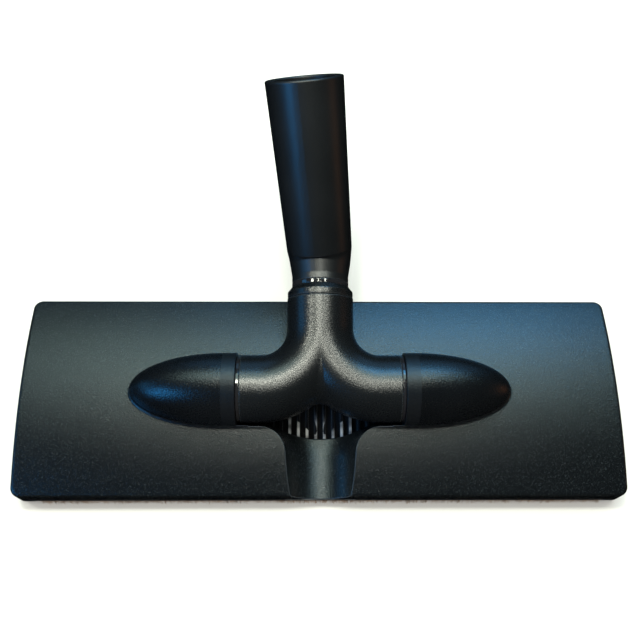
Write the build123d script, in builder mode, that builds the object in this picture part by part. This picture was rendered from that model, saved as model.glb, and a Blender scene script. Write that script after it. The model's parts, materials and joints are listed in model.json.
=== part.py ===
from build123d import *
import os
from math import cos, radians, sin, sqrt, tan

# Vacuum floor brush head, in millimetres.
# X runs along the head, +Y to the back where the wand joins, +Z up.
# The origin is on the floor, in the middle of the whole part's footprint.

# Head outline and heights above the floor
head_width = 300.0
head_depth = 103.0
corner_radius = 4.6
edge_rounding = 1.6
edge_height = 17.6        # top of the cover at its front and back edges
crown_rise = 6.0          # camber of the cover from edge to middle
bristle_length = 6.0      # free bristle, from the floor to the underside of the base plate
base_thickness = 1.8
base_rim_height = 3.15    # thicker border of the base plate, which carries the bristles
base_rim_width = 6.5
cover_wall = 2.2
joint_gap = 0.05          # between faces that meet inside one body
clip_gap = 0.1            # beside pieces that are pushed into a slot

# Yoke: a stem that splits into two elbows, one to each side
yoke_radius = 16.6
yoke_wall = 2.2
yoke_bend = 30.0          # centre-line radius of the two elbows
crotch_radius = 8.0       # rounding of the crease where the elbows meet
crotch_turn = 80.0        # angle above and below the arms at which the rounding runs out
crotch_sink = 0.1         # depth of its borders below the skin
crotch_back = 4.0         # depth of its solid behind them
crotch_steps = 6
arm_reach = 39.3
stem_reach = 45.0
stem_tilt = 12.0          # rise of the stem above the floor as it rests
lowest_tilt = 2.5         # rise of the stem when it lies in a groove
yoke_gap = 1.4            # between the yoke's arms and their trough
groove_gap = 1.2          # between the yoke's stem and its back groove
front_groove_gap = 1.8
trough_wall = 1.4
pivot_height = 26.4

# Domes at the two ends of the trough
dome_radius = 17.9
mouth_gap = 2.0           # arm end to the mouth of its dome
dome_straight = 6.4
dome_nose = 46.8
dome_wall = 2.0
dome_fillet = 1.6
mouth_wall = 3.6
well_half_length = 36.6   # lens-shaped window under the yoke
well_half_depth = 21.2
well_slot_half_depth = 12.0
well_wall = 1.8

# Pivot sleeves and arm seals
sleeve_radius = 15.0
sleeve_bore = 12.6
sleeve_seat = 6.0         # length pushed into the arm
sleeve_flange_radius = 15.55
sleeve_flange = 1.4
running_gap = 0.06        # radial, between a turning piece and its bore
seal_radius = 16.2
seal_gap = 0.12

# Neck of the yoke, from the pivot along the stem
collar_radius = 16.4
collar_straight = 3.5
collar_chamfer_length = 2.6
collar_tip_radius = 14.4
seam_width = 0.6          # open seam between the stem and its collar
seam_depth = 0.9
nose_radius = 15.0
nose_length = 3.8
slip_ring_radius = 14.2
slip_ring_height = 2.3
spigot_radius = 12.9
spigot_bore = 10.8
spigot_flange_radius = 14.0
spigot_flange = 2.2
bearing_length = 5.0      # ring inside the stem that the spigot turns in
neck_seal_width = 1.8
neck_seal_depth = 1.15

# Elbow tube
bend_reach = 67.6         # pivot to the point where the two tube axes meet
bend_angle = 30.0
bend_swivel = -10.7       # lean of the tube to the left as it rests
bend_radius = 17.6
bend_steps = 4
neck_straight = 3.3
neck_radius = 15.2        # at the lower end of the bend
tube_foot_radius = 16.5   # at its upper end
tube_length = 88.7
mouth_radius = 19.05
tube_bore = 13.6
socket_radius = 16.1
socket_depth = 44.0
socket_shoulder = 14.8
mouth_rounding = 0.9
mouth_lead = 0.5

# Bristle strips
strip_inset = 2.3         # outer face of the head to the middle of a strip
carrier_width = 4.4
carrier_height = 2.2
root_width = 2.8
root_height = 1.4
tuft_width = 2.8
tuft_length = 3.0
tuft_pitch = 4.0
tuft_taper = -5.0
strip_end_gap = 9.0       # corner of the head to the end of a strip

# Suction inlets, cradle ribs, rollers and screws
inlet_gap = 10.7          # mouth of the dome to the inlet
inlet_end_gap = 28.0      # inlet to the end of the head
inlet_depth = 22.0
floor_ribs = 14           # low ribs of the sole under the yoke
floor_rib_pitch = 4.4
floor_rib_width = 1.4
floor_rib_height = 1.6
floor_rib_gap = 0.4
roller_offset = 22.0      # inner screw to the roller
roller_y = 29.0
roller_radius = 7.2
roller_width = 9.0
roller_clearance = 0.7    # roller above the floor
roller_rounding = 1.0
roller_side_gap = 0.4
pocket_length = 16.0
cheek_thickness = 2.4
cheek_length = 7.0
cheek_height = 4.6
axle_radius = 1.25
axle_seat = 1.8           # axle length inside each cheek
screw_gap = 18.7          # mouth of the dome to the inner screws
screw_end_gap = 20.0      # outer screws to the end of the head
screw_edge_gap = 16.0     # screws to the front and back edges of the head
screw_head_radius = 2.9
screw_head_height = 1.5
screw_radius = 1.3
screw_length = 9.0
boss_radius = 3.6
lip_height = 1.6
lip_thickness = 1.4

# Places worked out from the sizes above
dome_mouth = arm_reach + mouth_gap
base_bottom = bristle_length
base_top = base_bottom + base_thickness
rim_top = base_bottom + base_rim_height
cover_bottom = rim_top + joint_gap
inside_bottom = base_top + joint_gap
crown_height = edge_height + crown_rise
trough_radius = yoke_radius + yoke_gap
yoke_bore = yoke_radius - yoke_wall
collar_start = stem_reach + joint_gap
collar_end = collar_start + collar_straight + collar_chamfer_length
slip_start = collar_end + joint_gap
shoulder = slip_start + slip_ring_height + joint_gap
bearing_start = stem_reach - bearing_length
bearing_bore = spigot_radius + running_gap
bend_tangent = bend_radius * tan(radians(bend_angle / 2))
inlet_start = dome_mouth + inlet_gap
inlet_length = head_width / 2 - inlet_end_gap - inlet_start
screw_columns = (dome_mouth + screw_gap, head_width / 2 - screw_end_gap)
screw_row = head_depth / 2 - screw_edge_gap
roller_x = screw_columns[0] + roller_offset
front_tufts = int((head_width - 2 * strip_end_gap) / tuft_pitch)
side_tufts = int((head_depth - 2 * strip_end_gap) / tuft_pitch)

tilt = radians(stem_tilt)
lean = radians(bend_swivel)
bend = radians(bend_angle)
tube_rise = (sin(bend) * sin(lean),
             cos(tilt) * cos(bend) - sin(tilt) * sin(bend) * cos(lean),
             sin(tilt) * cos(bend) + cos(tilt) * sin(bend) * cos(lean))
back_reach = (bend_reach * cos(tilt) + tube_length * tube_rise[1]
              + mouth_radius * sqrt(1 - tube_rise[1] ** 2))
pivot_y = (head_depth / 2 - back_reach) / 2

# Datums
pivot = Vector(0, pivot_y, pivot_height)
pivot_axis = Axis(pivot, (1, 0, 0))
stem_axis = Vector(0, cos(tilt), sin(tilt))
stem_normal = Vector(0, -sin(tilt), cos(tilt))
tube_axis = Vector(*tube_rise)
bend_side = stem_normal * cos(lean) + Vector(1, 0, 0) * sin(lean)
bend_point = pivot + stem_axis * bend_reach
head_plan = Plane(origin=(0, pivot_y, 0))
pivot_plan = Plane(origin=pivot)
pivot_section = Plane(origin=pivot, x_dir=(1, 0, 0), z_dir=(0, -1, 0))
neck_section = Plane(origin=pivot, x_dir=bend_side, z_dir=bend_side.cross(stem_axis))
tube_side = bend_side * cos(bend) - stem_axis * sin(bend)
tube_section = Plane(origin=bend_point, x_dir=tube_side, z_dir=tube_side.cross(tube_axis))


def yoke_frame(rise):
    """Plane through the pivot with local Y along a stem that rises by this angle."""
    angle = radians(rise)
    return Plane(origin=pivot, x_dir=(1, 0, 0), z_dir=(0, -sin(angle), cos(angle)))


def yoke_form(radius, rise, stem_end, arm_end):
    """Round twin-elbow form of one radius: outside, inside or clearance of the yoke."""
    frame = yoke_frame(rise)
    stem_foot = Plane(origin=frame.from_local_coords((0, yoke_bend, 0)), z_dir=frame.y_dir)
    arm_foot = Plane(origin=frame.from_local_coords((yoke_bend, 0, 0)), z_dir=frame.x_dir)
    elbow_centre = frame.from_local_coords((yoke_bend, yoke_bend, 0))
    with BuildPart() as form:
        with BuildSketch(stem_foot):
            Circle(radius)
        extrude(amount=stem_end - yoke_bend)
        with BuildSketch(stem_foot):
            Circle(radius)
        revolve(axis=Axis(elbow_centre, frame.z_dir), revolution_arc=90)
        with BuildSketch(arm_foot):
            Circle(radius)
        extrude(amount=arm_end - yoke_bend)
        split(bisect_by=Plane.YZ, keep=Keep.TOP)
        mirror(about=Plane.YZ)
    return form.part


def crotch_fill():
    """Rounding of the crease between the elbows: the skin under a ball that rolls along it."""
    frame = yoke_frame(stem_tilt)
    reach = yoke_radius + crotch_radius
    with BuildPart() as fill:
        for step in range(-crotch_steps, crotch_steps + 1):
            turn = radians(crotch_turn * step / crotch_steps)
            ring = yoke_bend + reach * cos(turn)
            ball = Vector(0, yoke_bend - sqrt(ring ** 2 - yoke_bend ** 2), reach * sin(turn))
            bend_centre = Vector(yoke_bend, yoke_bend, 0)
            nearest = bend_centre + (Vector(0, ball.Y, 0) - bend_centre) * (yoke_bend / ring)
            touch = nearest + (ball - nearest) * (yoke_radius / reach)
            inward = Vector(0, touch.Y - ball.Y, touch.Z - ball.Z)
            grown = (crotch_radius + crotch_sink) / crotch_radius
            half = touch.X * grown
            depth = inward.length * grown
            inward = frame.y_dir * inward.Y + frame.z_dir * inward.Z
            section = Plane(origin=frame.from_local_coords(ball), x_dir=frame.x_dir,
                            z_dir=frame.x_dir.cross(inward))
            with BuildSketch(section):
                with BuildLine():
                    ThreePointArc((-half, depth), (0, crotch_radius + crotch_sink), (half, depth))
                    Polyline((half, depth), (half, depth + crotch_back),
                             (-half, depth + crotch_back), (-half, depth))
                make_face()
        loft()
    return fill.part


def trough_form(extra, half_length):
    """Cylinder along the pivot axis with the two grooves that the stem lies in."""
    with BuildPart() as form:
        with BuildSketch(Plane.YZ.offset(-half_length)):
            with Locations((pivot_y, pivot_height)):
                Circle(trough_radius + extra)
        extrude(amount=2 * half_length)
        for rise, gap in ((lowest_tilt, groove_gap), (180 - lowest_tilt, front_groove_gap)):
            add(yoke_form(yoke_radius + gap + extra, rise, head_depth, (yoke_bend + dome_mouth) / 2))
    return form.part


def head_block(inset, bottom, drop):
    """Block under the cambered top of the head, set in from its sides and its top."""
    half = head_depth / 2
    top_edge = edge_height - drop
    with BuildPart() as block:
        with BuildSketch(Plane.YZ.offset(-head_width / 2 + inset)):
            with BuildLine():
                ThreePointArc((pivot_y - half, top_edge), (pivot_y, crown_height - drop),
                              (pivot_y + half, top_edge))
                Polyline((pivot_y + half, top_edge), (pivot_y + half, bottom),
                         (pivot_y - half, bottom), (pivot_y - half, top_edge))
            make_face()
            if inset > 0:
                with Locations((pivot_y, crown_height)):
                    Rectangle(head_depth - 2 * inset, 4 * crown_height, mode=Mode.INTERSECT)
        extrude(amount=head_width - 2 * inset)
        fillet(block.edges().filter_by(Axis.Z), max(corner_radius - inset, 1.0))
    return block.part


def dome_form(radius, start, nose):
    """Bullet along the pivot axis on both sides, with upright walls below the axis."""
    straight_end = dome_mouth + dome_straight
    with BuildPart() as form:
        with BuildSketch(pivot_plan) as outline:
            with BuildLine():
                Polyline((straight_end + nose, 0), (start, 0), (start, radius), (straight_end, radius))
                EllipticalCenterArc((straight_end, 0), nose, radius, start_angle=0, arc_size=90)
            make_face()
        revolve(axis=pivot_axis, revolution_arc=180)
        with BuildSketch(pivot_plan):
            add(outline.sketch_local)
            mirror(about=Plane.XZ)
        extrude(amount=-(pivot_height - inside_bottom))
        mirror(about=Plane.YZ)
    return form.part


def well_form(half_length, half_depth, slot_half_length, slot_half_depth, top):
    """Lens-shaped well under the yoke with a straight slot below its arms."""
    with BuildPart() as form:
        with BuildSketch(Plane(origin=(0, pivot_y, inside_bottom))):
            Ellipse(half_length, half_depth)
            Rectangle(2 * slot_half_length, 2 * slot_half_depth)
        extrude(amount=top - inside_bottom)
    return form.part


def screw_places():
    """Places of the sole screws, seen from above."""
    return [(x * side, pivot_y + y) for x in screw_columns for side in (-1, 1)
            for y in (-screw_row, screw_row)]


os.makedirs("parts", exist_ok=True)

trough = trough_form(0, dome_mouth)
trough_keep = trough_form(trough_wall, dome_mouth + mouth_wall)

# The space inside the cover, with the walls of the trough, the well and the screw bosses left standing
with BuildPart() as cover_space:
    add(head_block(cover_wall, inside_bottom - 1, cover_wall))
    add(dome_form(dome_radius - dome_wall, dome_mouth + mouth_wall, dome_nose - dome_wall))
    add(trough_keep, mode=Mode.SUBTRACT)
    add(well_form(well_half_length + well_wall, well_half_depth + well_wall,
                  dome_mouth + mouth_wall, well_slot_half_depth + well_wall, pivot_height),
        mode=Mode.SUBTRACT)
    with BuildSketch(Plane.XY):
        with Locations(*screw_places()):
            Circle(boss_radius)
    extrude(amount=crown_height, mode=Mode.SUBTRACT)

with BuildPart() as top_cover:
    add(head_block(0, inside_bottom, 0))
    fillet(top_cover.faces().sort_by(Axis.Z)[-1].edges(), edge_rounding)
    add(dome_form(dome_radius, 0, dome_nose))
    dome_foot = top_cover.edges(Select.LAST).filter_by(
        lambda edge: edge.bounding_box().max.Z < crown_height + 0.1
        and edge.bounding_box().min.Z > edge_height)
    fillet(dome_foot, dome_fillet)
    add(cover_space.part, mode=Mode.SUBTRACT)
    add(trough, mode=Mode.SUBTRACT)
    add(well_form(well_half_length, well_half_depth, dome_mouth, well_slot_half_depth, pivot_height),
        mode=Mode.SUBTRACT)
    with BuildSketch(head_plan):
        RectangleRounded(head_width + 2, head_depth + 2, corner_radius)
        RectangleRounded(head_width - 2 * (base_rim_width + clip_gap),
                         head_depth - 2 * (base_rim_width + clip_gap), clip_gap, mode=Mode.SUBTRACT)
    extrude(amount=cover_bottom, mode=Mode.SUBTRACT)
    with BuildSketch(Plane.YZ.offset(-dome_mouth - mouth_wall - dome_straight)):
        with Locations((pivot_y, pivot_height)):
            Circle(sleeve_radius + running_gap)
    extrude(amount=2 * (dome_mouth + mouth_wall + dome_straight), mode=Mode.SUBTRACT)
    with BuildSketch(Plane.XY):
        with Locations(*screw_places()):
            Circle(screw_radius + joint_gap)
    extrude(amount=base_bottom + screw_length + 1, mode=Mode.SUBTRACT)

# Sole with its thicker border, a lip that locates the cover, and the rebates for the bristle carriers
rebate_depth = strip_inset + carrier_width / 2 + clip_gap
front_length = front_tufts * tuft_pitch + 1
side_length = side_tufts * tuft_pitch + 1
roller_axis = roller_clearance + roller_radius
pocket_width = roller_width + 2 * roller_side_gap
lip_inset = cover_wall + clip_gap

with BuildPart() as base_plate:
    with BuildSketch(head_plan.offset(base_bottom)):
        RectangleRounded(head_width, head_depth, corner_radius)
    extrude(amount=base_rim_height)
    with BuildSketch(head_plan.offset(base_top)):
        RectangleRounded(head_width - 2 * base_rim_width, head_depth - 2 * base_rim_width, clip_gap)
    extrude(amount=base_rim_height, mode=Mode.SUBTRACT)
    with BuildSketch(head_plan.offset(rim_top)):
        RectangleRounded(head_width - 2 * lip_inset, head_depth - 2 * lip_inset,
                         corner_radius - lip_inset)
        RectangleRounded(head_width - 2 * (lip_inset + lip_thickness),
                         head_depth - 2 * (lip_inset + lip_thickness),
                         corner_radius - lip_inset - lip_thickness, mode=Mode.SUBTRACT)
        Rectangle(2 * (trough_radius + trough_wall + yoke_bend), head_depth, mode=Mode.SUBTRACT)
    extrude(amount=lip_height)
    with BuildSketch(head_plan.offset(base_bottom)):
        for side in (-1, 1):
            with Locations((0, side * (head_depth - rebate_depth) / 2)):
                Rectangle(front_length + 2 * clip_gap, rebate_depth)
            with Locations((side * (head_width - rebate_depth) / 2, 0)):
                Rectangle(rebate_depth, side_length + 2 * clip_gap)
    extrude(amount=carrier_height + joint_gap, mode=Mode.SUBTRACT)
    with BuildSketch(head_plan.offset(base_bottom)):
        for side in (-1, 1):
            with Locations((side * (inlet_start + inlet_length / 2), 0)):
                SlotOverall(inlet_length, inlet_depth)
            with Locations((side * roller_x, roller_y)):
                Rectangle(pocket_width, pocket_length)
    extrude(amount=base_thickness, mode=Mode.SUBTRACT)
    with BuildSketch(head_plan.offset(base_bottom)):
        for side in (-1, 1):
            for cheek in (-1, 1):
                with Locations((side * roller_x + cheek * (pocket_width + cheek_thickness) / 2, roller_y)):
                    Rectangle(cheek_thickness, cheek_length)
    extrude(amount=base_thickness + cheek_height)
    for side in (-1, 1):
        axle_end = side * roller_x - pocket_width / 2 - axle_seat - joint_gap
        with BuildSketch(Plane.YZ.offset(axle_end)):
            with Locations((pivot_y + roller_y, roller_axis)):
                Circle(axle_radius + joint_gap)
        extrude(amount=pocket_width + 2 * (axle_seat + joint_gap), mode=Mode.SUBTRACT)
    with BuildSketch(head_plan.offset(base_top)):
        with GridLocations(floor_rib_pitch, 1, floor_ribs, 1):
            Rectangle(floor_rib_width, 2 * well_half_depth)
        Ellipse(well_half_length - floor_rib_gap, well_half_depth - floor_rib_gap, mode=Mode.INTERSECT)
    extrude(amount=floor_rib_height)
    add(trough, mode=Mode.SUBTRACT)
    with Locations(*[(x, y, base_bottom) for x, y in screw_places()]):
        Cone(screw_head_radius + joint_gap, screw_radius + joint_gap, screw_head_height,
             align=(Align.CENTER, Align.CENTER, Align.MIN), mode=Mode.SUBTRACT)
        Cylinder(screw_radius + joint_gap, screw_length, mode=Mode.SUBTRACT)

with BuildPart() as sole_screws:
    with Locations(*[(x, y, base_bottom) for x, y in screw_places()]):
        Cone(screw_head_radius, screw_radius, screw_head_height,
             align=(Align.CENTER, Align.CENTER, Align.MIN))
        Cylinder(screw_radius, screw_length, align=(Align.CENTER, Align.CENTER, Align.MIN))


def carrier(length, turned, middle):
    """Low bar with a slot along its underside for the roots of the bristles."""
    size = (carrier_width, length) if turned else (length, carrier_width)
    slot = (root_width, length - 1) if turned else (length - 1, root_width)
    with BuildPart() as bar:
        with BuildSketch(Plane(origin=(middle[0], middle[1], base_bottom))):
            Rectangle(*size)
        extrude(amount=carrier_height)
        with BuildSketch(Plane(origin=(middle[0], middle[1], base_bottom))):
            Rectangle(slot[0] + 2 * joint_gap, slot[1] + 2 * joint_gap)
        extrude(amount=root_height + joint_gap, mode=Mode.SUBTRACT)
    return bar.part


def bristle_row(length, turned, middle, count):
    """One strip of bristles: a root bar and a row of tufts that spread towards the floor."""
    slot = (root_width, length - 1) if turned else (length - 1, root_width)
    tuft = (tuft_width, tuft_length) if turned else (tuft_length, tuft_width)
    with BuildPart() as row:
        with BuildSketch(Plane(origin=(middle[0], middle[1], base_bottom))):
            Rectangle(*slot)
        extrude(amount=root_height)
        with BuildSketch(Plane(origin=(middle[0], middle[1], base_bottom), z_dir=(0, 0, -1))):
            with GridLocations(tuft_pitch, tuft_pitch, 1 if turned else count, count if turned else 1):
                Rectangle(*tuft)
        extrude(amount=bristle_length, taper=tuft_taper)
    return row.part


front_middle = (0, pivot_y - head_depth / 2 + strip_inset)
rear_middle = (0, pivot_y + head_depth / 2 - strip_inset)
left_middle = (-head_width / 2 + strip_inset, pivot_y)
right_middle = (head_width / 2 - strip_inset, pivot_y)

with BuildPart() as front_carrier:
    add(carrier(front_length, False, front_middle))
with BuildPart() as rear_carrier:
    add(carrier(front_length, False, rear_middle))
with BuildPart() as left_carrier:
    add(carrier(side_length, True, left_middle))
with BuildPart() as right_carrier:
    add(carrier(side_length, True, right_middle))
with BuildPart() as front_bristles:
    add(bristle_row(front_length, False, front_middle, front_tufts))
with BuildPart() as rear_bristles:
    add(bristle_row(front_length, False, rear_middle, front_tufts))
with BuildPart() as left_bristles:
    add(bristle_row(side_length, True, left_middle, side_tufts))
with BuildPart() as right_bristles:
    add(bristle_row(side_length, True, right_middle, side_tufts))


def roller(side):
    """Small roller with rounded edges, bored for its axle."""
    with BuildPart() as wheel:
        with BuildSketch(Plane.YZ.offset(side * roller_x - roller_width / 2)):
            with Locations((pivot_y + roller_y, roller_axis)):
                Circle(roller_radius)
        extrude(amount=roller_width)
        fillet(wheel.edges().filter_by(GeomType.CIRCLE), roller_rounding)
        with BuildSketch(Plane.YZ.offset(side * roller_x - roller_width / 2)):
            with Locations((pivot_y + roller_y, roller_axis)):
                Circle(axle_radius + running_gap)
        extrude(amount=roller_width, mode=Mode.SUBTRACT)
    return wheel.part


def roller_axle(side):
    """Pin that a roller turns on, held at both ends in the cheeks of the sole."""
    axle_length = pocket_width + 2 * axle_seat
    with BuildPart() as pin:
        with BuildSketch(Plane.YZ.offset(side * roller_x - axle_length / 2)):
            with Locations((pivot_y + roller_y, roller_axis)):
                Circle(axle_radius)
        extrude(amount=axle_length)
    return pin.part


with BuildPart() as left_roller:
    add(roller(-1))
with BuildPart() as right_roller:
    add(roller(1))
with BuildPart() as left_roller_axle:
    add(roller_axle(-1))
with BuildPart() as right_roller_axle:
    add(roller_axle(1))


def arm_seal(side):
    """Glossy ring between the end of an arm and the mouth of its dome."""
    start = arm_reach + seal_gap
    end = dome_mouth - joint_gap
    with BuildPart() as ring:
        with BuildSketch(pivot_section):
            with BuildLine():
                Polyline((side * start, sleeve_radius + running_gap), (side * start, seal_radius),
                         (side * end, seal_radius), (side * end, sleeve_radius + running_gap),
                         close=True)
            make_face()
        revolve(axis=pivot_axis)
        fillet(ring.edges().filter_by(GeomType.CIRCLE).filter_by(
            lambda edge: edge.radius > seal_radius - 0.1), 0.4)
    return ring.part


def pivot_sleeve(side):
    """Tube pushed into an arm, turning in the end wall of the dome and held there by its flange."""
    wall_end = dome_mouth + mouth_wall + seal_gap
    with BuildPart() as tube:
        with BuildSketch(pivot_section):
            with BuildLine():
                Polyline((side * (arm_reach - sleeve_seat), sleeve_bore),
                         (side * (arm_reach - sleeve_seat), yoke_bore - joint_gap),
                         (side * (arm_reach + joint_gap), yoke_bore - joint_gap),
                         (side * (arm_reach + joint_gap), sleeve_radius),
                         (side * wall_end, sleeve_radius),
                         (side * wall_end, sleeve_flange_radius),
                         (side * (wall_end + sleeve_flange), sleeve_flange_radius),
                         (side * (wall_end + sleeve_flange), sleeve_bore), close=True)
            make_face()
        revolve(axis=pivot_axis)
    return tube.part


with BuildPart() as left_arm_seal:
    add(arm_seal(-1))
with BuildPart() as right_arm_seal:
    add(arm_seal(1))
with BuildPart() as left_pivot_sleeve:
    add(pivot_sleeve(-1))
with BuildPart() as right_pivot_sleeve:
    add(pivot_sleeve(1))

# Yoke in two shells that meet on the plane of the pivot axis and the stem
stem_end = Plane(origin=pivot + stem_axis * stem_reach, z_dir=stem_axis)
bearing_foot = Plane(origin=pivot + stem_axis * bearing_start, z_dir=stem_axis)

with BuildPart() as yoke_body:
    add(yoke_form(yoke_radius, stem_tilt, stem_reach, arm_reach))
    add(crotch_fill())
    with BuildSketch(stem_end):
        Circle(nose_radius)
    extrude(amount=nose_length)
    add(yoke_form(yoke_bore, stem_tilt, bearing_start, arm_reach), mode=Mode.SUBTRACT)
    with BuildSketch(bearing_foot.offset(-1)):
        Circle(bearing_bore)
    extrude(amount=bearing_length + nose_length + 1, mode=Mode.SUBTRACT)

with BuildPart() as yoke_upper_shell:
    add(yoke_body.part)
    split(bisect_by=yoke_frame(stem_tilt), keep=Keep.TOP)
with BuildPart() as yoke_lower_shell:
    add(yoke_body.part)
    split(bisect_by=yoke_frame(stem_tilt), keep=Keep.BOTTOM)

neck_axis = Axis(pivot, stem_axis)

with BuildPart() as collar_ring:
    nose_end = stem_reach + nose_length + joint_gap
    with BuildSketch(neck_section):
        with BuildLine():
            Polyline((nose_radius + joint_gap, collar_start),
                     (collar_radius - seam_depth, collar_start),
                     (collar_radius - seam_depth, collar_start + seam_width),
                     (collar_radius, collar_start + seam_width),
                     (collar_radius, collar_start + collar_straight),
                     (collar_tip_radius, collar_end), (bearing_bore, collar_end),
                     (bearing_bore, nose_end), (nose_radius + joint_gap, nose_end), close=True)
        make_face()
    revolve(axis=neck_axis)

with BuildPart() as slip_ring:
    with BuildSketch(neck_section):
        with BuildLine():
            Polyline((spigot_radius + joint_gap, slip_start), (slip_ring_radius, slip_start),
                     (slip_ring_radius, slip_start + slip_ring_height),
                     (spigot_radius + joint_gap, slip_start + slip_ring_height), close=True)
        make_face()
    revolve(axis=neck_axis)
    fillet(slip_ring.edges().filter_by(GeomType.CIRCLE).filter_by(
        lambda edge: edge.radius > slip_ring_radius - 0.1), 0.4)

# Elbow tube: spigot and neck along the stem, a bend, and the tube with the wand socket
neck_seal_start = (bearing_start + stem_reach - neck_seal_width) / 2
neck_seal_bore = spigot_radius - neck_seal_depth
flange_end = bearing_start - clip_gap
flange_start = flange_end - spigot_flange
bend_start = bend_reach - bend_tangent
socket_floor = tube_length - socket_depth
bend_foot = Plane(origin=pivot + stem_axis * bend_start, z_dir=stem_axis)
bend_axis = Axis(pivot + stem_axis * bend_start + bend_side * bend_radius, stem_axis.cross(bend_side))
wand_axis = Axis(bend_point, tube_axis)

with BuildPart() as neck_seal:
    with BuildSketch(neck_section):
        with BuildLine():
            Polyline((neck_seal_bore + joint_gap, neck_seal_start),
                     (spigot_radius, neck_seal_start),
                     (spigot_radius, neck_seal_start + neck_seal_width),
                     (neck_seal_bore + joint_gap, neck_seal_start + neck_seal_width), close=True)
        make_face()
    revolve(axis=neck_axis)

with BuildPart() as elbow_tube:
    with BuildSketch(neck_section):
        with BuildLine():
            Polyline((0, flange_start), (spigot_flange_radius, flange_start),
                     (spigot_flange_radius, flange_end), (spigot_radius, flange_end),
                     (spigot_radius, neck_seal_start - joint_gap),
                     (neck_seal_bore, neck_seal_start - joint_gap),
                     (neck_seal_bore, neck_seal_start + neck_seal_width + joint_gap),
                     (spigot_radius, neck_seal_start + neck_seal_width + joint_gap),
                     (spigot_radius, shoulder), (slip_ring_radius, shoulder),
                     (slip_ring_radius, shoulder + neck_straight), (neck_radius, bend_start),
                     (0, bend_start), close=True)
        make_face()
    revolve(axis=neck_axis)
    for step in range(bend_steps + 1):
        turn = bend * step / bend_steps
        along = stem_axis * cos(turn) + bend_side * sin(turn)
        inner = stem_axis * sin(turn) - bend_side * cos(turn)
        with BuildSketch(Plane(origin=bend_axis.position + inner * bend_radius,
                               x_dir=bend_axis.direction, z_dir=along)):
            Circle(neck_radius + (tube_foot_radius - neck_radius) * step / bend_steps)
    loft()
    with BuildSketch(tube_section):
        with BuildLine():
            Polyline((0, bend_tangent), (tube_foot_radius, bend_tangent), (mouth_radius, tube_length),
                     (0, tube_length), close=True)
        make_face()
    revolve(axis=wand_axis)
    fillet(elbow_tube.edges().filter_by(GeomType.CIRCLE).filter_by(
        lambda edge: edge.radius > mouth_radius - 0.1), mouth_rounding)
    with BuildSketch(neck_section):
        with BuildLine():
            Polyline((0, flange_start), (spigot_bore, flange_start), (spigot_bore, shoulder),
                     (tube_bore, bend_start), (0, bend_start), close=True)
        make_face()
    revolve(axis=neck_axis, mode=Mode.SUBTRACT)
    with BuildSketch(bend_foot):
        Circle(tube_bore)
    revolve(axis=bend_axis, revolution_arc=bend_angle, mode=Mode.SUBTRACT)
    with BuildSketch(tube_section):
        with BuildLine():
            Polyline((0, bend_tangent), (tube_bore, bend_tangent), (tube_bore, socket_floor - bend_tangent),
                     (socket_shoulder, socket_floor), (socket_radius, socket_floor),
                     (socket_radius, tube_length - mouth_lead),
                     (socket_radius + mouth_lead, tube_length), (0, tube_length), close=True)
        make_face()
    revolve(axis=wand_axis, mode=Mode.SUBTRACT)

pieces = {
    "top_cover": top_cover,
    "base_plate": base_plate,
    "sole_screws": sole_screws,
    "front_carrier": front_carrier,
    "rear_carrier": rear_carrier,
    "left_carrier": left_carrier,
    "right_carrier": right_carrier,
    "front_bristles": front_bristles,
    "rear_bristles": rear_bristles,
    "left_bristles": left_bristles,
    "right_bristles": right_bristles,
    "left_roller": left_roller,
    "right_roller": right_roller,
    "left_roller_axle": left_roller_axle,
    "right_roller_axle": right_roller_axle,
    "left_arm_seal": left_arm_seal,
    "right_arm_seal": right_arm_seal,
    "left_pivot_sleeve": left_pivot_sleeve,
    "right_pivot_sleeve": right_pivot_sleeve,
    "yoke_upper_shell": yoke_upper_shell,
    "yoke_lower_shell": yoke_lower_shell,
    "collar_ring": collar_ring,
    "slip_ring": slip_ring,
    "neck_seal": neck_seal,
    "elbow_tube": elbow_tube,
}
for name, piece in pieces.items():
    piece.part.label = name
    export_step(piece.part, f"parts/{name}.step")
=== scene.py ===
import json
from math import cos, pi, radians, sin
from random import Random

import bpy
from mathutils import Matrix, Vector


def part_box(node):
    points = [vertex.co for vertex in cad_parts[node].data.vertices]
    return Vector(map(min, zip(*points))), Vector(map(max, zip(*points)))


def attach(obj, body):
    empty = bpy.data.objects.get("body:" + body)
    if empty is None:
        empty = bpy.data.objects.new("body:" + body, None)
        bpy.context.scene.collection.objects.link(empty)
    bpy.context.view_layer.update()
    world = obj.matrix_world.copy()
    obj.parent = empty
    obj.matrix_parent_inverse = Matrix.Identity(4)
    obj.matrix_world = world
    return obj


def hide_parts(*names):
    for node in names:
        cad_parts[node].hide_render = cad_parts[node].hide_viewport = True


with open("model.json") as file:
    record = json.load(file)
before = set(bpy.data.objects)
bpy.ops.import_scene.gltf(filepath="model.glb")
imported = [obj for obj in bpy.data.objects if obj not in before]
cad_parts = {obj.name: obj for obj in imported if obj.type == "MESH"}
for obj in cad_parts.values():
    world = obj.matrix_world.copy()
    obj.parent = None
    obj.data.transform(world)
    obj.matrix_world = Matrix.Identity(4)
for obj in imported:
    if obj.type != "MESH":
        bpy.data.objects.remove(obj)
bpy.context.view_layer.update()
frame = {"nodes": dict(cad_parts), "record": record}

# Camera, from the photograph's own perspective; lengths in metres
CAMERA_SIDE = -0.0068      # right of the head's middle
CAMERA_FRONT = 0.1275      # in front of the head's middle
CAMERA_ABOVE = 0.4126      # above EDGE_HEIGHT
CAMERA_PITCH = radians(22.16)
CAMERA_YAW = radians(-0.89)
CAMERA_ROLL = radians(0.07)
LENS_MM = 47.8
SENSOR_MM = 36.0
EDGE_HEIGHT = 0.0178       # about the top of the cover at its front and back edges

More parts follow.
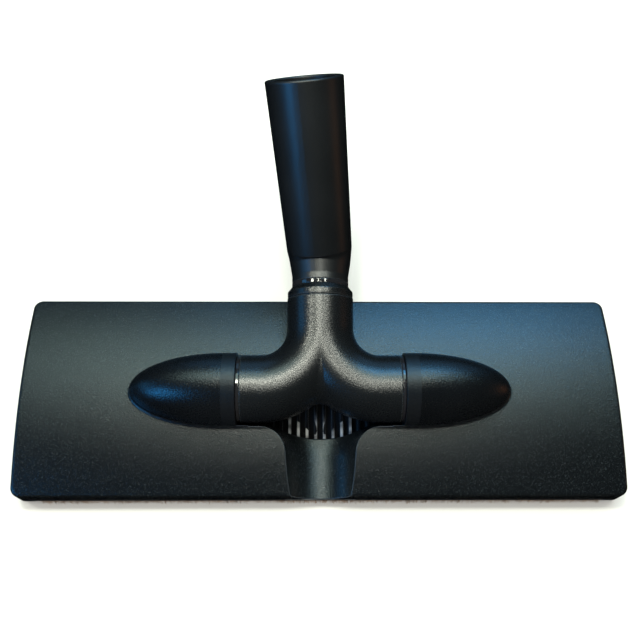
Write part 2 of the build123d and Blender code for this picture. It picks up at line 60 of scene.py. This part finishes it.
# Stage
FLOOR_SIZE = 6.0
FLOOR_COLOUR = (0.60, 0.60, 0.595)
FLOOR_ROUGHNESS = 0.6
WORLD_COLOUR = (1.0, 0.98, 0.95, 1)
WORLD_STRENGTH = 0.95

# Black plastic; a roughness is (at the grain's peaks, in its valleys)
BLACK = (0.0032, 0.0038, 0.0042)
DOME_ROUGHNESS = (0.22, 0.32)
PLATE_ROUGHNESS = (0.19, 0.28)
BAND_ROUGHNESS = (0.32, 0.44)
SOLE_ROUGHNESS = (0.40, 0.55)
TUBE_ROUGHNESS = (0.34, 0.41)
GRAIN_MM = 0.6
GRAIN_DEPTH_MM = 0.08
TUBE_GRAIN_DEPTH_MM = 0.02
COVER_GRAIN_MM = 0.7
COVER_GRAIN_DEPTH_MM = 0.15
GRAIN_SPAN = (0.3, 0.7)    # part of the noise between valley and peak
CLOUD_SCALE = 28.0         # faint tone changes, per metre
CLOUD_SPAN = (0.3, 0.7)
CLOUD_TONES = (0.8, 1.25)
EDGE_MM = 0.9              # radius of the edges' shading
EDGE_SAMPLES = 4
WEAR_AND_HIGHLIGHT_SPAN = (0.70, 0.96)   # cosines of the edge's turn, from fully paled to not paled by rubbed wear and a painted highlight
WEAR_AND_HIGHLIGHT_TONE = 12             # how much lighter edges are painted: rubbed wear and a painted highlight on their rounding
# the cover's rims are painted paler still, as a painted highlight along them
COVER_WEAR_AND_HIGHLIGHT_TONE = 26
PALEST = 0.8               # limit of a paled edge's colour

# Places on the cover and the sole
CROWN_RISE = 0.006         # camber of the cover from edge to middle
CROWN_RADIUS = 0.224
DOME_MARGIN = 0.0008       # about how far above the plate a dome's finish starts
BAND_END = 0.0481          # end of the matt band at a dome's mouth
# the band's lighter tone is painted shading, for how its matt finish catches the light
BAND_PAINTED_SHADING = (0.0055, 0.0064, 0.007)
# painted glints: pale specks on the plate's grain peaks
PAINTED_GLINT_TONE = (0.018, 0.022, 0.021)
PAINTED_GLINT_SPAN = (0.56, 0.66)   # part of the grain over which a painted glint fades in
# painted highlight on the ribs under the yoke
RIB_PAINTED_HIGHLIGHT = (0.48, 0.52, 0.50)
RIB_FLOOR = 0.0088         # the ribs carry the painted highlight above this height
RIB_END = 0.0172           # the painted highlight reaches this far to either side
RIB_FRONT = -0.0679        # front ends of the ribs
RIB_FADE = 0.013           # the painted highlight fades to painted shade this far behind them
RIB_FULL = 0.35            # share of that length before it starts to fade
RIB_HIGHLIGHT_PATCHES = 190          # patches of painted highlight, per metre
HIGHLIGHT_PATCH_SPAN = (0.35, 0.60)
HIGHLIGHT_PATCH_LOW = 0.15           # share of the painted highlight left between the patches

# Bristles
STRIP_DEPTH = 0.0024       # depth of a strip at its roots
HAIR_RADIUS = 0.00011
HAIR_TAPER = 0.45          # share of the radius lost at the tip
HAIR_RINGS = 4
HAIR_SIDES = 3
HAIR_PER_MM = 18           # hairs per millimetre of strip
HAIR_SPLAY = 0.0018        # how far the outermost tips stand out from their roots
SPLAY_SPAN = (0.5, 1.0)    # range of shares of that splay
HAIR_SCATTER = 0.0005      # spread of the tips along the strip
SCATTER_OUT = 0.3          # shares of the scatter across the strip and in a hair's bow
SCATTER_BOW = 0.4
TIP_SCATTER = 0.00025      # unevenness of the tips' height
HAIR_CURVE = 1.5           # over 1, a hair leans out mostly near its tip
HAIR_TONE = (0.5, 0.22)    # mean and spread, from dark 0 to pale 1
HAIR_DARK = (0.06, 0.033, 0.016)
HAIR_MIDDLE = (0.22, 0.12, 0.055)
HAIR_PALE = (0.42, 0.27, 0.14)
HAIR_PLAIN = (0.25, 0.14, 0.06)
HAIR_ROUGHNESS = 0.55
ROOT_TONE = 0.55           # share of a hair's tone left at its root
ROOT_DEPTH = 0.0006        # length of hair hidden in its carrier

# Light colours
KEY_WHITE = (0.98, 1.0, 0.86)
LAMP_WHITE = (0.98, 1.0, 0.88)
PANEL_GREEN = (0.70, 1.0, 0.95)
BACK_BLUE = (0.10, 0.50, 1.0)
WALL_BLUE = (0.20, 0.55, 1.0)
LEFT_BLUE = (0.04, 0.40, 1.0)
WINDOW_BLUE = (0.06, 0.45, 1.0)
WALL_BROWN = (1.0, 0.42, 0.18)
FILL_WARM = (1.0, 0.86, 0.72)

# Sockets of a Mix node: share, first and second, and its result
COLOUR_MIX = (0, 6, 7)
COLOUR_RESULT = 2
VALUE_MIX = (0, 2, 3)
VALUE_RESULT = 0

nodes = frame["nodes"]
head_low, head_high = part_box("top_cover")
head_middle = (head_low + head_high) / 2


def principled(name, colour, roughness, **sockets):
    """A material with one Principled shader whose plain values sit on its own sockets."""
    material = bpy.data.materials.new(name)
    material.use_nodes = True
    shader = material.node_tree.nodes["Principled BSDF"]
    shader.inputs["Base Color"].default_value = (*colour, 1)
    shader.inputs["Roughness"].default_value = roughness
    for socket, value in sockets.items():
        shader.inputs[socket.replace("_", " ")].default_value = value
    return material, shader


def node(material, kind, **values):
    """A shader node with its properties and plain input values set."""
    made = material.node_tree.nodes.new(kind)
    for key, value in values.items():
        if hasattr(made, key):
            setattr(made, key, value)
        else:
            made.inputs[key.replace("_", " ")].default_value = value
    return made


def link(material, output, target):
    """Joins an output to an input."""
    material.node_tree.links.new(output, target)


def ramp(material, source, stops):
    """A colour ramp fed by source; stops are (position, grey or colour)."""
    made = node(material, "ShaderNodeValToRGB")
    elements = made.color_ramp.elements
    while len(elements) < len(stops):
        elements.new(0.5)
    for element, (position, colour) in zip(elements, stops):
        element.position = position
        tone = (colour,) * 3 if isinstance(colour, float) else colour
        element.color = (*tone, 1)
    link(material, source, made.inputs["Fac"])
    return made.outputs["Color"]


def grain_texture(material, grain_mm):
    """Fine mould grain; its place follows the part."""
    place = node(material, "ShaderNodeTexCoord").outputs["Object"]
    grain = node(material, "ShaderNodeTexNoise", Scale=1000 / grain_mm, Detail=2.0, Roughness=0.6)
    link(material, place, grain.inputs["Vector"])
    return place, grain.outputs["Fac"]


def grain_roughness(material, grain, roughness):
    """A roughness that follows the grain."""
    peak, valley = roughness
    low, high = GRAIN_SPAN
    return ramp(material, grain, [(low, valley), (high, peak)])


def mix(material, share, first, second):
    """A colour mix of the output first and the plain colour second."""
    made = node(material, "ShaderNodeMix", data_type="RGBA")
    share_socket, first_socket, second_socket = (made.inputs[place] for place in COLOUR_MIX)
    second_socket.default_value = (*second, 1)
    link(material, share, share_socket)
    link(material, first, first_socket)
    return made.outputs[COLOUR_RESULT]


def moulded(name, colour, roughness, grain_mm, grain_depth_mm, edge_mm, wear_and_highlight_tone=WEAR_AND_HIGHLIGHT_TONE,
            **sockets):
    """A moulded or plated surface: grain in bump and roughness, faint tones, soft edges painted paler for
    rubbed wear and a painted highlight.
    """
    material, shader = principled(name, colour, roughness[0], **sockets)
    place, grain = grain_texture(material, grain_mm)
    link(material, grain_roughness(material, grain, roughness), shader.inputs["Roughness"])
    cloud = node(material, "ShaderNodeTexNoise", Scale=CLOUD_SCALE, Detail=3.0)
    link(material, place, cloud.inputs["Vector"])
    clouds = [(stop, tuple(c * share for c in colour))
              for stop, share in zip(CLOUD_SPAN, CLOUD_TONES)]
    tone = ramp(material, cloud.outputs["Fac"], clouds)
    edge = node(material, "ShaderNodeBevel", samples=EDGE_SAMPLES, Radius=edge_mm / 1000)
    turned = node(material, "ShaderNodeVectorMath", operation="DOT_PRODUCT")
    link(material, edge.outputs["Normal"], turned.inputs[0])
    link(material, node(material, "ShaderNodeNewGeometry").outputs["Normal"], turned.inputs[1])
    # Paler edges: partly rubbed wear, partly a painted highlight on their rounding
    highlight_share = ramp(material, turned.outputs["Value"], list(zip(WEAR_AND_HIGHLIGHT_SPAN, (1.0, 0.0))))
    pale = tuple(min(c * wear_and_highlight_tone, PALEST) for c in colour)
    link(material, mix(material, highlight_share, tone, pale), shader.inputs["Base Color"])
    bump = node(material, "ShaderNodeBump", Strength=1.0, Distance=grain_depth_mm / 1000)
    link(material, edge.outputs["Normal"], bump.inputs["Normal"])
    link(material, grain, bump.inputs["Height"])
    link(material, bump.outputs["Normal"], shader.inputs["Normal"])
    return material


def maths(material, operation, first, second):
    """A maths node on two values, each an output or a number."""
    made = node(material, "ShaderNodeMath", operation=operation)
    for socket, value in zip(made.inputs, (first, second)):
        if isinstance(value, (int, float)):
            socket.default_value = value
        else:
            link(material, value, socket)
    return made.outputs["Value"]


def blend_values(material, share, first, second):
    """A blend of two values by a share, all three outputs."""
    made = node(material, "ShaderNodeMix", data_type="FLOAT")
    for place, value in zip(VALUE_MIX, (share, first, second)):
        link(material, value, made.inputs[place])
    return made.outputs[VALUE_RESULT]


def lighten(material, share, tone):
    """Mixes a paler tone into the base colour where share is high."""
    colour = material.node_tree.nodes["Principled BSDF"].inputs["Base Color"]
    link(material, mix(material, share, colour.links[0].from_socket, tone), colour)


def place_axes(material, place):
    """The three coordinates of a place on the part."""
    axes = node(material, "ShaderNodeSeparateXYZ")
    link(material, place, axes.inputs["Vector"])
    return axes.outputs["X"], axes.outputs["Y"], axes.outputs["Z"]


def cover_black():
    """The cover's black: a glossier plate with painted glints, satin domes and a matt band at their mouths
    with painted lighter shading.
    """
    material = moulded("cover_black", BLACK, DOME_ROUGHNESS, COVER_GRAIN_MM, COVER_GRAIN_DEPTH_MM,
                       EDGE_MM, COVER_WEAR_AND_HIGHLIGHT_TONE)
    shader = material.node_tree.nodes["Principled BSDF"]
    place, grain = grain_texture(material, GRAIN_MM)
    x, y, z = place_axes(material, place)
    across = maths(material, "SUBTRACT", y, head_middle.y)
    square = maths(material, "MULTIPLY", across, across)
    # Height with the cover's camber taken out
    height = maths(material, "ADD", z, maths(material, "MULTIPLY", square, 0.5 / CROWN_RADIUS))
    dome = maths(material, "GREATER_THAN", height, EDGE_HEIGHT + CROWN_RISE + DOME_MARGIN)
    near = maths(material, "LESS_THAN", maths(material, "ABSOLUTE", x, 0), BAND_END)
    band = maths(material, "MULTIPLY", dome, near)
    satin = grain_roughness(material, grain, DOME_ROUGHNESS)
    glossy = grain_roughness(material, grain, PLATE_ROUGHNESS)
    matt = grain_roughness(material, grain, BAND_ROUGHNESS)
    finish = blend_values(material, band, blend_values(material, dome, glossy, satin), matt)
    link(material, finish, shader.inputs["Roughness"])
    # Painted lighter shading on the band at each dome's mouth
    lighten(material, band, BAND_PAINTED_SHADING)
    plate = maths(material, "SUBTRACT", 1, dome)
    # Painted glints on the plate: its grain peaks are painted paler
    painted_glints = ramp(material, grain, list(zip(PAINTED_GLINT_SPAN, (0.0, 1.0))))
    lighten(material, maths(material, "MULTIPLY", plate, painted_glints), PAINTED_GLINT_TONE)
    return material


def sole_black():
    """The sole's black, with a painted highlight in patches on the front ends of its ribs under the yoke,
    fading to painted shade behind.
    """
    material = moulded("sole_black", BLACK, SOLE_ROUGHNESS, GRAIN_MM, GRAIN_DEPTH_MM, EDGE_MM)
    place = node(material, "ShaderNodeTexCoord").outputs["Object"]
    x, y, z = place_axes(material, place)
    raised = maths(material, "GREATER_THAN", z, RIB_FLOOR)
    inside = maths(material, "LESS_THAN", maths(material, "ABSOLUTE", x, 0), RIB_END)
    behind = maths(material, "DIVIDE", maths(material, "SUBTRACT", y, RIB_FRONT), RIB_FADE)
    # The painted highlight fades to painted shade towards the back
    near = ramp(material, behind, [(RIB_FULL, 1.0), (1.0, 0.0)])
    patches = node(material, "ShaderNodeTexNoise", Scale=RIB_HIGHLIGHT_PATCHES, Detail=1.0)
    link(material, place, patches.inputs["Vector"])
    highlight_patches = ramp(material, patches.outputs["Fac"], list(zip(HIGHLIGHT_PATCH_SPAN, (HIGHLIGHT_PATCH_LOW, 1.0))))
    rib = maths(material, "MULTIPLY", raised, inside)
    highlight_share = maths(material, "MULTIPLY", near, highlight_patches)
    # Painted highlight on the ribs' front ends
    lighten(material, maths(material, "MULTIPLY", rib, highlight_share), RIB_PAINTED_HIGHLIGHT)
    return material


def bristle_material():
    """Brown natural hair, each hair its own tone, darker at the root."""
    material, shader = principled("natural_bristle", HAIR_PLAIN, HAIR_ROUGHNESS)
    tone = node(material, "ShaderNodeAttribute", attribute_name="hair_tone")
    colour = ramp(material, tone.outputs["Fac"], [(0.0, HAIR_DARK), (0.5, HAIR_MIDDLE), (1.0, HAIR_PALE)])
    link(material, colour, shader.inputs["Base Color"])
    return material


# A moulded one has a colour, a roughness, and in millimetres its grain's size and depth and its edges' radius
materials = {
    "textured_black": moulded("textured_black", BLACK, DOME_ROUGHNESS, GRAIN_MM, GRAIN_DEPTH_MM, EDGE_MM),
    "gloss_black": moulded("gloss_black", (0.008, 0.008, 0.009), (0.06, 0.12), 1.5, 0.002, 0.25),
    "carrier_black": moulded("carrier_black", (0.014, 0.014, 0.014), (0.40, 0.55), 0.5, 0.01, 0.2),
    "roller_grey": moulded("roller_grey", (0.06, 0.06, 0.062), (0.55, 0.7), 0.4, 0.02, 0.3),
    "seal_rubber": moulded("seal_rubber", (0.012, 0.012, 0.012), (0.55, 0.7), 0.4, 0.01, 0.2),
    "plated_steel": moulded("plated_steel", (0.60, 0.60, 0.58), (0.22, 0.34), 0.2, 0.004, 0.2,
                            Metallic=1.0),
    "natural_bristle": bristle_material()}
for part in frame["record"]["subparts"]:
    mesh = nodes[part["node"]].data
    mesh.materials.clear()
    mesh.materials.append(materials[part["material_slot"]])
nodes["top_cover"].data.materials[0] = cover_black()
nodes["base_plate"].data.materials[0] = sole_black()
nodes["elbow_tube"].data.materials[0] = moulded(
    "satin_black", BLACK, TUBE_ROUGHNESS, GRAIN_MM, TUBE_GRAIN_DEPTH_MM, EDGE_MM)


def hair_strip(name, outward, seed):
    """Replaces one bristle strip with single hairs that spread away from their carrier."""
    rng = Random(seed)
    low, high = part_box(name)
    carrier_low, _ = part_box(name.replace("bristles", "carrier"))
    root_height = carrier_low.z + ROOT_DEPTH
    along = Vector((1, 0, 0)) if abs(outward[1]) else Vector((0, 1, 0))
    outward = Vector(outward)
    middle = (low + high) / 2
    length = (high - low).dot(along)
    count = int(length * 1000 * HAIR_PER_MM)
    vertices, faces, tones = [], [], []
    for _ in range(count):
        across = rng.uniform(-1, 1)
        root = middle + along * (rng.uniform(-0.5, 0.5) * length) + outward * (across * STRIP_DEPTH / 2)
        tip = root + outward * (across * HAIR_SPLAY * rng.uniform(*SPLAY_SPAN))
        tip += along * rng.gauss(0, HAIR_SCATTER) + outward * rng.gauss(0, HAIR_SCATTER * SCATTER_OUT)
        bow = outward * rng.gauss(0, HAIR_SCATTER * SCATTER_BOW)
        tip_height = low.z + abs(rng.gauss(0, TIP_SCATTER))
        tone = min(max(rng.gauss(*HAIR_TONE), 0), 1)
        twist = rng.uniform(0, 2 * pi)
        first = len(vertices)
        for ring in range(HAIR_RINGS):
            part = ring / (HAIR_RINGS - 1)
            centre = root.lerp(tip, part ** HAIR_CURVE) + bow * sin(pi * part)
            centre.z = root_height + (tip_height - root_height) * part
            radius = HAIR_RADIUS * (1 - HAIR_TAPER * part)
            for side in range(HAIR_SIDES):
                angle = twist + 2 * pi * side / HAIR_SIDES
                vertices.append(centre + Vector((cos(angle), sin(angle), 0)) * radius)
                tones.append(tone * (ROOT_TONE + (1 - ROOT_TONE) * part))
        for ring in range(HAIR_RINGS - 1):
            for side in range(HAIR_SIDES):
                a = first + ring * HAIR_SIDES + side
                b = first + ring * HAIR_SIDES + (side + 1) % HAIR_SIDES
                faces.append((a, b, b + HAIR_SIDES, a + HAIR_SIDES))
        last = first + (HAIR_RINGS - 1) * HAIR_SIDES
        faces.append(tuple(last + side for side in range(HAIR_SIDES)))
    mesh = bpy.data.meshes.new(name + "_hair")
    mesh.from_pydata(vertices, [], faces)
    mesh.attributes.new("hair_tone", "FLOAT", "POINT").data.foreach_set("value", tones)
    mesh.materials.append(materials["natural_bristle"])
    strip = bpy.data.objects.new(name + "_hair", mesh)
    bpy.context.scene.collection.objects.link(strip)
    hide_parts(name)
    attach(strip, "head")


hair_strip("front_bristles", (0, -1, 0), 1)
hair_strip("rear_bristles", (0, 1, 0), 2)
hair_strip("left_bristles", (-1, 0, 0), 3)
hair_strip("right_bristles", (1, 0, 0), 4)

# Floor
bpy.ops.mesh.primitive_plane_add(size=FLOOR_SIZE, location=(0, 0, 0))
floor = bpy.context.object
floor.name = "floor"
floor_material, _ = principled("floor_pale", FLOOR_COLOUR, FLOOR_ROUGHNESS)
floor.data.materials.append(floor_material)
floor.visible_glossy = False

# Light: a plain pale world, which glossy faces don't mirror
world = bpy.data.worlds.new("studio")
bpy.context.scene.world = world
world.use_nodes = True
background = world.node_tree.nodes["Background"]
background.inputs["Color"].default_value = WORLD_COLOUR
background.inputs["Strength"].default_value = WORLD_STRENGTH
world.cycles_visibility.glossy = False
bpy.context.scene.view_settings.view_transform = "Standard"


def area_light(name, back, right, distance, size, power, colour, gloss=True):
    """A panel seen from the head at these angles, in degrees, back and right of straight up."""
    data = bpy.data.lights.new(name, "AREA")
    data.shape = "RECTANGLE"
    data.size, data.size_y = size
    data.energy = power
    data.color = colour
    light = bpy.data.objects.new(name, data)
    away = Vector((sin(radians(right)), sin(radians(back)) * cos(radians(right)),
                   cos(radians(back)) * cos(radians(right))))
    light.location = head_middle + away * distance
    light.rotation_euler = away.to_track_quat("Z", "Y").to_euler()
    light.visible_camera = False
    light.visible_glossy = gloss
    bpy.context.scene.collection.objects.link(light)
    return light


# Each light has its angles, its distance and size in metres, its power in watts and its colour.
# Small lamps overhead for the yoke, stem and neck
lamps = [area_light("key", 8, -8, 1.1, (0.13, 0.14), 4.6, KEY_WHITE),
         area_light("left_lamp", 8, -31, 1.1, (0.13, 0.14), 3.4, KEY_WHITE),
         area_light("right_lamp", 8, 19, 1.1, (0.13, 0.14), 3.0, LAMP_WHITE),
         area_light("stem_lamp", -3, 1, 1.1, (0.16, 0.10), 1.5, LAMP_WHITE),
         area_light("front_lamp", -12, 0, 1.1, (0.10, 0.08), 1.5, LAMP_WHITE)]
# Light for the cover: two small lamps and a broad panel behind them
panels = [area_light("dome_lamp", 13, -8, 1.1, (0.08, 0.06), 0.4, LAMP_WHITE),
          area_light("groove_lamp", 10, 1, 1.1, (0.08, 0.14), 1.5, LAMP_WHITE),
          area_light("second", 27, 0, 1.2, (1.10, 0.50), 7.3, PANEL_GREEN)]
# Blue light from behind and from the left, and a little warm light from the right and the front
skies = [area_light("back_sky", 42, 12, 1.2, (0.5, 0.35), 5, BACK_BLUE),
         area_light("back_wall", 70, 8, 1.5, (1.6, 0.7), 3, WALL_BLUE),
         area_light("left_sky", -34, -48, 1.1, (0.4, 0.3), 5.0, LEFT_BLUE),
         area_light("left_window", 15, -66, 1.2, (0.3, 0.4), 1.0, WINDOW_BLUE),
         area_light("right_wall", -30, 86, 1.2, (0.4, 0.5), 0.35, WALL_BROWN),
         area_light("front_fill", -62, 0, 1.5, (1.2, 0.4), 9, FILL_WARM, gloss=False)]


def keep_off(lights, name, *targets):
    """Flags these lights off some objects."""
    flag = bpy.data.collections.new(name)
    for target in targets:
        flag.objects.link(target)
    for member in flag.collection_objects:
        member.light_linking.link_state = "EXCLUDE"
    for light in lights:
        light.light_linking.receiver_collection = flag


keep_off(lamps, "lamp_flag", nodes["top_cover"], nodes["base_plate"])
keep_off(panels, "panel_flag", nodes["base_plate"])
keep_off(skies, "sky_flag", floor)

# Camera
camera_data = bpy.data.cameras.new("camera")
camera_data.lens = LENS_MM
camera_data.sensor_width = SENSOR_MM
camera = bpy.data.objects.new("camera", camera_data)
camera.location = (head_middle.x + CAMERA_SIDE, head_middle.y - CAMERA_FRONT,
                   EDGE_HEIGHT + CAMERA_ABOVE)
camera.rotation_mode = "ZYX"
camera.rotation_euler = (CAMERA_PITCH, CAMERA_YAW, CAMERA_ROLL)
bpy.context.scene.collection.objects.link(camera)
bpy.context.scene.camera = camera
